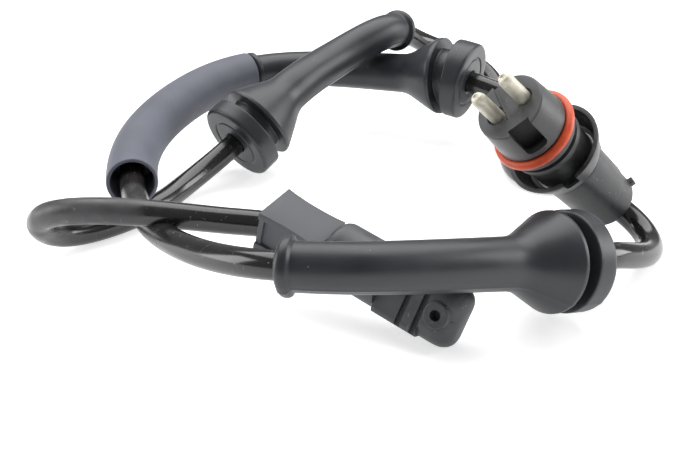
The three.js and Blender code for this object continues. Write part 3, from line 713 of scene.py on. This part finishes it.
def head_sections():
    """Rows of [distance, half width, half thickness, corner]: the lead's hole, a quarter
    circle, the round barrel, the square collar, and the nose whose halves shrink as arcs do.
    Rows stand close on both sides of each groove's walls."""
    turn = np.linspace(0, math.pi / 2, ROUND_ROWS)
    hole = [LEAD_HOLE_RADIUS] * 3
    mouth = [[LEAD_HOLE_DEPTH, *hole], [LEAD_HOLE_CHAMFER, *hole],
             [0] + [LEAD_HOLE_RADIUS + LEAD_HOLE_CHAMFER] * 3]
    dome_r = BARREL_RADIUS - DOME + DOME * np.sin(turn)
    dome = np.stack([DOME - DOME * np.cos(turn), dome_r, dome_r, dome_r], axis=-1)
    barrel_at = np.linspace(
        DOME + BARREL_ROWS_AFTER_DOME, BARREL_LENGTH - EDGE, ROUND_ROWS)[:, None]
    barrel = np.hstack([barrel_at, np.full((ROUND_ROWS, 3), BARREL_RADIUS)])
    marks = [at + side * (GROOVE_HALF + step) for at in GROOVES_AT for side in (-1, 1)
             for step in (-EDGE, -GROOVE_WALL, GROOVE_WALL, EDGE)]
    collar_at = np.unique(np.round(np.concatenate([
        np.arange(BARREL_LENGTH + EDGE, COLLAR_TO, COLLAR_ROW_STEP), marks]), 3))[:, None]
    collar = np.hstack([collar_at, np.tile(COLLAR_HALF, (len(collar_at), 1))])
    start = np.array([[BARREL_LENGTH, *(np.array(COLLAR_HALF) - [EDGE, EDGE, 0])]])
    nose_at = np.arange(COLLAR_TO + NOSE_ROWS_AFTER_COLLAR, HEAD_LENGTH, NOSE_ROW_STEP)
    tip = np.clip((nose_at - HEAD_LENGTH + TIP_ROUND) / TIP_ROUND, 0, 1)
    edge = np.clip((nose_at - HEAD_LENGTH + EDGE_ROUND) / EDGE_ROUND, 0, 1)
    half_y = NOSE_HALF[1] - TIP_ROUND * (1 - np.sqrt(1 - tip ** 2))
    half_x = NOSE_HALF[0] - EDGE_ROUND * (1 - np.sqrt(1 - edge ** 2))
    corner = np.minimum(NOSE_HALF[2], np.minimum(half_x, half_y) * CORNER_SHARE)
    nose = np.stack([nose_at, half_x, half_y, corner], axis=-1)
    return np.concatenate([mouth, dome, barrel, start, collar, nose, [[HEAD_LENGTH, 0, 0, 0]]])


def head(look):
    """Rounded sections carried along the head. On the broad face two grooves cap Y, the boss
    lifts it within its circle, the boss's hole sinks it, and a mould line is a shallow furrow."""
    rows = head_sections()
    angle = np.linspace(0, 2 * math.pi, HEAD_COLUMNS, endpoint=False)
    at, half_x, half_y, corner = (rows[:, i:i + 1] for i in range(4))
    reach = rounded_section(
        angle, np.maximum(half_x, LEAST_HALF), np.maximum(half_y, LEAST_HALF), corner)
    x = reach * np.cos(angle) * (half_x > 0)
    y = reach * np.sin(angle) * (half_x > 0)
    for groove in GROOVES_AT:
        y = np.where(np.abs(at - groove) < GROOVE_HALF, np.minimum(y, GROOVE_FLOOR), y)
    broad = (y > 0) & (at > COLLAR_TO)
    away = np.hypot(x, at - BOSS_AT)
    rim = np.clip((BOSS_RADIUS - away) / BOSS_EDGE, 0, 1)
    boss_y = BOSS_TOP - BOSS_EDGE * (1 - np.sqrt(1 - (1 - rim) ** 2))
    y = np.where(broad & (away < BOSS_RADIUS), np.maximum(y, boss_y), y)
    y = np.where(broad & (away < BOSS_HOLE_RADIUS), BOSS_HOLE_FLOOR, y)
    furrow = np.exp(-(x / FURROW_WIDTH) ** 2) * (at > BOSS_AT + BOSS_RADIUS) * (half_x > 0)
    y = np.where(broad, y - FURROW_DEPTH * furrow, y)
    grid = np.stack([x, y, at + 0 * x], axis=-1) * MM
    mesh = grid_mesh("head", [HEAD.set(grid)])
    return piece("sensor_head_housing", mesh, look, ["sensor_housing"])


CLIP_EDGE = 0.25 * MM
CLIP_FLAT = math.radians(2)
CLIP_SHARP = math.radians(40)


def clip(look):
    """A copy of the clip's solid with its sharp edges rounded off, as moulded rubber has them."""
    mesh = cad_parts["bracket_clip"].data.copy()
    work = bmesh.new()
    work.from_mesh(mesh)
    bmesh.ops.remove_doubles(work, verts=work.verts, dist=SAME_POINT)
    bmesh.ops.dissolve_limit(work, angle_limit=CLIP_FLAT, verts=work.verts, edges=work.edges)
    sharp = [edge for edge in work.edges
             if len(edge.link_faces) == 2 and edge.calc_face_angle() > CLIP_SHARP]
    bmesh.ops.bevel(work, geom=sharp, offset=CLIP_EDGE, segments=3, profile=0.5,
                    affect="EDGES", clamp_overlap=True)
    work.to_mesh(mesh)
    work.free()
    return piece("bracket_clip_rubber", mesh, look, ["bracket_clip"])


# Connector: outlines in millimetres, with heights from the middle of the seal ring

TURNED_COLUMNS = 128
SHELL_COLUMNS = 112
BLOCK_COLUMNS = 96
ROD_COLUMNS = 48
SEAL_SECTION_POINTS = 28
BODY_ROW_STEP = 1.5 * MM
CUP_ROW_STEP = 0.8 * MM
PIN_AND_SHELL_ROW_STEP = 1 * MM
BODY_FRONT = 9.2
BODY_OUTLINE = [
    [0, -16.6, 0], [5.1, -16.6, 0.2], [5.1, -13.2, 0.1], [6.6, -13.2, 0.1], [6.6, -5.15, 0.2],
    [7.4, -5.15, 0.15], [7.4, -3.85, 0.15], [6.6, -3.85, 0.2], [6.6, -2.55, 0.2],
    [7.7, -2.55, 0.15], [7.7, -1.25, 0.15], [6.55, -1.25, 0.2], [6.55, 1.25, 0.2],
    [7.6, 1.25, 0.25], [7.0, BODY_FRONT, 0.45], [0, BODY_FRONT, 0],
]
# Blocks are [low corner], [high corner], corner radius, axis along which they run
KEY_SLOT = ([-2.3, -9, 2.6], [2.3, -5.1, 12], 0.9, 1)
FRONT_STEP = ([-1.5, -2.6, 8.1], [1.5, 9, 12], 0.1, 1)
CUP_NOTCH = ([-1.5, -13, -10], [1.5, -7.9, -5], 0.5, 1)
SHELL_TAB = ([5.6, -0.7, -31], [7.0, 0.7, -29.6], 0.2, 0)
RECESS_RADIUS = 2.0
BORE_RADIUS = 1.65
BORE_FLOOR = 4
CUT_TO = 12
PIN_PITCH = 6.2
PIN_OUTLINE = [
    [0, -7.8, 0], [1.15, -7.8, 0.2], [1.15, -2.7, 0.1], [2.05, -2.7, 0.1], [2.05, -1.7, 0.1],
    [1.5, -1.7, 0.1], [1.5, 15.3, 0.3], [1.1, 16.3, 0.35], [0.62, 16.5, 0.15], [0.45, 16.25, 0.1],
    [0, 16.1, 0],
]
PIN_SINK = 0.9
SEAL_RING_RADIUS = 7.8
SEAL_RING_SECTION_RADIUS = 0.95
CUP_OUTLINE = [
    [6.9, -12, 0], [6.9, -13.2, 0.1], [7.0, -13.2, 0.1], [8.0, -12.2, 0.6], [9.7, -8.4, 0.4],
    [10, -7.4, 0.25], [9.0, -7.4, 0.2], [7.7, -12, 0.4], [6.9, -12, 0],
]
SHELL_OUTLINE = [
    [5.0, -30.9, 0.1], [5.8, -31, 0.2], [6.1, -30.7, 0.2], [6.1, -25.4, 0.1], [6.4, -25.4, 0.1],
    [6.75, -13.9, 0.3], [6.5, -13.5, 0.2], [5.4, -13.5, 0.1], [5.4, -16.9, 0.1],
    [5.0, -16.9, 0.1], [5.0, -30.9, 0],
]


def block(low, high, corner, along):
    """A rounded bar between two corners: a rounded rectangle's outline carried along one axis."""
    low, high = np.array(low, float), np.array(high, float)
    middle, half = (low + high) / 2, (high - low) / 2
    across = [i for i in range(3) if i != along]
    angle = np.linspace(0, 2 * math.pi, BLOCK_COLUMNS, endpoint=False)
    reach = rounded_section(angle, half[across[0]], half[across[1]], corner)
    rows = np.array([[-1, 0], [-1, 1], [1, 1], [1, 0]])
    grid = np.zeros((len(rows), BLOCK_COLUMNS, 3))
    grid[..., along] = rows[:, :1] * half[along]
    grid[..., across[0]] = rows[:, 1:] * reach * np.cos(angle)
    grid[..., across[1]] = rows[:, 1:] * reach * np.sin(angle)
    return (grid + middle) * MM


def rod(radius, low, high, x):
    """A plain round rod along Z, standing at a distance from the axis."""
    outline = np.array([[0, low], [radius, low], [radius, high], [0, high]]) * MM
    return turned(outline, ROD_COLUMNS) + [x * MM, 0, 0]


def connector_body(look):
    """The turned body, less the key slot, the step between the pins and the pins' recesses."""
    outline = refined(rounded(BODY_OUTLINE), BODY_ROW_STEP)
    body = grid_mesh("body", [CONNECTOR.set(turned(outline, TURNED_COLUMNS))])
    shapes = [block(*KEY_SLOT), block(*FRONT_STEP)]
    for side in (-1, 1):
        shapes.append(rod(RECESS_RADIUS, BODY_FRONT - PIN_SINK, CUT_TO, side * PIN_PITCH / 2))
        shapes.append(rod(BORE_RADIUS, BORE_FLOOR, CUT_TO, side * PIN_PITCH / 2))
    cutters = [grid_mesh("cutter", [CONNECTOR.set(shape)]) for shape in shapes]
    return piece("connector_plug_body", cut_out(body, cutters), look,
                 ["connector_body"])


def seal_ring(look):
    """A circle carried round the connector's axis."""
    angle = np.linspace(0, 2 * math.pi, SEAL_SECTION_POINTS, endpoint=False)
    outline = np.stack([SEAL_RING_RADIUS + SEAL_RING_SECTION_RADIUS * np.cos(angle),
                        SEAL_RING_SECTION_RADIUS * np.sin(angle)], axis=-1) * MM
    mesh = grid_mesh("seal", [CONNECTOR.set(turned(outline, TURNED_COLUMNS))], closed=True)
    return piece("red_seal_ring", mesh, look, ["o_ring"])


def pin(name, side, look):
    """A turned pin, at half the pitch from the connector's axis."""
    outline = refined(rounded(PIN_OUTLINE), PIN_AND_SHELL_ROW_STEP)
    grid = turned(outline, ROD_COLUMNS) + [side * PIN_PITCH / 2 * MM, 0, 0]
    mesh = grid_mesh(name, [CONNECTOR.set(grid)])
    return piece(name + "_plated", mesh, look, [name])


def collar(look):
    """The flared cup, less a notch with rounded corners in its lip."""
    outline = refined(rounded(CUP_OUTLINE), CUP_ROW_STEP)
    cup = grid_mesh("cup", [CONNECTOR.set(turned(outline, TURNED_COLUMNS))])
    cutter = grid_mesh("cutter", [CONNECTOR.set(block(*CUP_NOTCH))])
    return piece("plug_collar", cut_out(cup, [cutter]), look,
                 ["coupling_collar"])


def shell(look):
    """The rear barrel, with a small tab standing on its rim."""
    outline = refined(rounded(SHELL_OUTLINE), PIN_AND_SHELL_ROW_STEP)
    grids = [CONNECTOR.set(turned(outline, SHELL_COLUMNS)), CONNECTOR.set(block(*SHELL_TAB))]
    return piece("plug_rear_shell", grid_mesh("shell", grids), look,
                 ["rear_shell"])


# Floor, light and world: lights have a place and a size in metres, and a power in watts

FLOOR_GLOW = 0.6
FLOOR_HALF = 4.0
FLOOR_WHITE = (0.86, 0.86, 0.86, 1)
LIGHTS_AIM = (0, 0.05, 0)
NO_LIGHT_FROM = (0, 1, 0.01)


def stage():
    """A wide pale floor. To the camera it adds a plain white, so that it shows as a white ground
    that keeps a soft shadow."""
    mesh = bpy.data.meshes.new("floor")
    half = FLOOR_HALF
    mesh.from_pydata([(-half, -half, 0), (half, -half, 0), (half, half, 0), (-half, half, 0)],
                     [], [(0, 1, 2, 3)])
    floor = bpy.data.objects.new("floor", mesh)
    bpy.context.scene.collection.objects.link(floor)
    material = bpy.data.materials.new("white_floor")
    material.use_nodes = True
    tree = material.node_tree
    shader = tree.nodes["Principled BSDF"]
    shader.inputs["Base Color"].default_value = FLOOR_WHITE
    shader.inputs["Roughness"].default_value = 0.9
    shader.inputs["Specular IOR Level"].default_value = 0.0
    path = node(tree, "ShaderNodeLightPath")
    seen = node(tree, "ShaderNodeMath", {
        0: path.outputs["Is Camera Ray"], 1: path.outputs["Is Glossy Ray"]}, operation="MAXIMUM")
    seen = node(tree, "ShaderNodeMath", {
        0: seen.outputs[0], 1: path.outputs["Is Transmission Ray"]}, operation="MAXIMUM")
    glow = node(tree, "ShaderNodeMath", {0: seen.outputs[0], 1: FLOOR_GLOW}, operation="MULTIPLY")
    shader.inputs["Emission Color"].default_value = (1, 1, 1, 1)
    tree.links.new(glow.outputs[0], shader.inputs["Emission Strength"])
    mesh.materials.append(material)


def softbox(name, place, size, power):
    """A rectangular area light that faces the object. Its level side is the cross product of
    a direction that no light comes from and the direction that this one comes from."""
    lamp = bpy.data.lights.new(name, "AREA")
    lamp.shape = "RECTANGLE"
    lamp.size, lamp.size_y = size
    lamp.energy = power
    stand = bpy.data.objects.new(name, lamp)
    back = unit(np.array(place, float) - np.array(LIGHTS_AIM, float))
    side = unit(np.cross(NO_LIGHT_FROM, back))
    turn = np.eye(4)
    turn[:3, 0], turn[:3, 1], turn[:3, 2], turn[:3, 3] = side, np.cross(back, side), back, place
    stand.matrix_world = Matrix(turn)
    bpy.context.scene.collection.objects.link(stand)


def light():
    softbox("top_softbox", (0.0, 0.35, 0.65), (1.1, 0.7), 8.5)
    softbox("left_softbox", (-0.8, 0.1, 0.2), (0.6, 0.4), 3.5)
    softbox("right_softbox", (0.8, 0.15, 0.3), (0.5, 0.4), 4.0)
    world = bpy.data.worlds.new("studio")
    world.use_nodes = True
    bpy.context.scene.world = world
    background = world.node_tree.nodes["Background"]
    background.inputs["Color"].default_value = (1, 1, 1, 1)
    background.inputs["Strength"].default_value = 0.3


# Assembly: each finish has a dark colour, a pale one and a roughness

camera()
lead = cable(jacket_finish())
grommet_look = rubber_finish(
    "satin_grommet_rubber", (0.015, 0.017, 0.021), (0.027, 0.03, 0.036), 0.38)
clip_look = rubber_finish(
    "matt_clip_rubber", (0.058, 0.062, 0.071), (0.082, 0.087, 0.099), 0.5, speck_share=0.01)
sleeve_look = rubber_finish(
    "matt_sleeve_rubber", (0.085, 0.092, 0.115), (0.125, 0.133, 0.165), 0.55, speck_share=0.01)
housing_look = plastic_finish(
    "grey_housing_plastic", (0.04, 0.043, 0.048), (0.068, 0.071, 0.078), 0.44)
plug_look = plastic_finish(
    "dark_plug_plastic", (0.022, 0.023, 0.025), (0.045, 0.046, 0.05), 0.42)
body_look = plastic_finish(
    # The plug body gets painted shade in its slot and bores
    "grey_plug_plastic", (0.045, 0.046, 0.048), (0.08, 0.081, 0.084), 0.42, painted_hollow_shade=True)
natural_look = plastic_finish("natural_plastic", (0.6, 0.57, 0.48), (0.68, 0.65, 0.56), 0.5)
package_look = plastic_finish("black_package", (0.01, 0.01, 0.011), (0.02, 0.02, 0.021), 0.45)
red_core_look = plastic_finish(
    "red_wire_insulation", (0.3, 0.03, 0.02), (0.38, 0.045, 0.03), 0.4)
black_core_look = plastic_finish(
    "black_wire_insulation", (0.015, 0.015, 0.016), (0.025, 0.025, 0.027), 0.4)
red_seal_look = seal_finish("red_silicone", (0.66, 0.07, 0.018), (0.78, 0.105, 0.03))
blue_seal_look = seal_finish("blue_silicone", (0.05, 0.14, 0.32), (0.07, 0.19, 0.4))
pin_look = metal_finish(
    "plated_pin_metal", (0.58, 0.55, 0.45), (0.74, 0.71, 0.61), 0.5, metallic=0.5)
lead_look = metal_finish("copper_lead_metal", (0.6, 0.3, 0.16), (0.75, 0.4, 0.22), 0.35)
magnet_look = metal_finish("sintered_magnet", (0.2, 0.2, 0.21), (0.32, 0.32, 0.33), 0.5)

grommets = [
    grommet("grommet_1", GROMMET_ONE_AT, -1, grommet_look),
    grommet("grommet_2", GROMMET_TWO_AT, 1, grommet_look),
    grommet("grommet_3", GROMMET_THREE_AT, 1, grommet_look),
]
hose = sleeve(sleeve_look)
head(housing_look)
bracket = clip(clip_look)
plug = [
    connector_body(body_look),
    seal_ring(red_seal_look),
    pin("contact_pin_1", -1, pin_look),
    pin("contact_pin_2", 1, pin_look),
    collar(plug_look),
    shell(plug_look),
]

CAD_FINISHES = {
    "element_carrier": natural_look,
    "hall_element": package_look,
    "bias_magnet": magnet_look,
    "signal_lead_1": lead_look,
    "signal_lead_2": lead_look,
    "head_core_1": red_core_look,
    "head_core_2": black_core_look,
    "connector_core_1": red_core_look,
    "connector_core_2": black_core_look,
    "pin_retainer": natural_look,
    "cable_seal": blue_seal_look,
}
for name, look in CAD_FINISHES.items():
    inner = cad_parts[name].data
    inner.materials.clear()
    inner.materials.append(look)

stage()
light()
bpy.context.scene.view_settings.view_transform = "Standard"
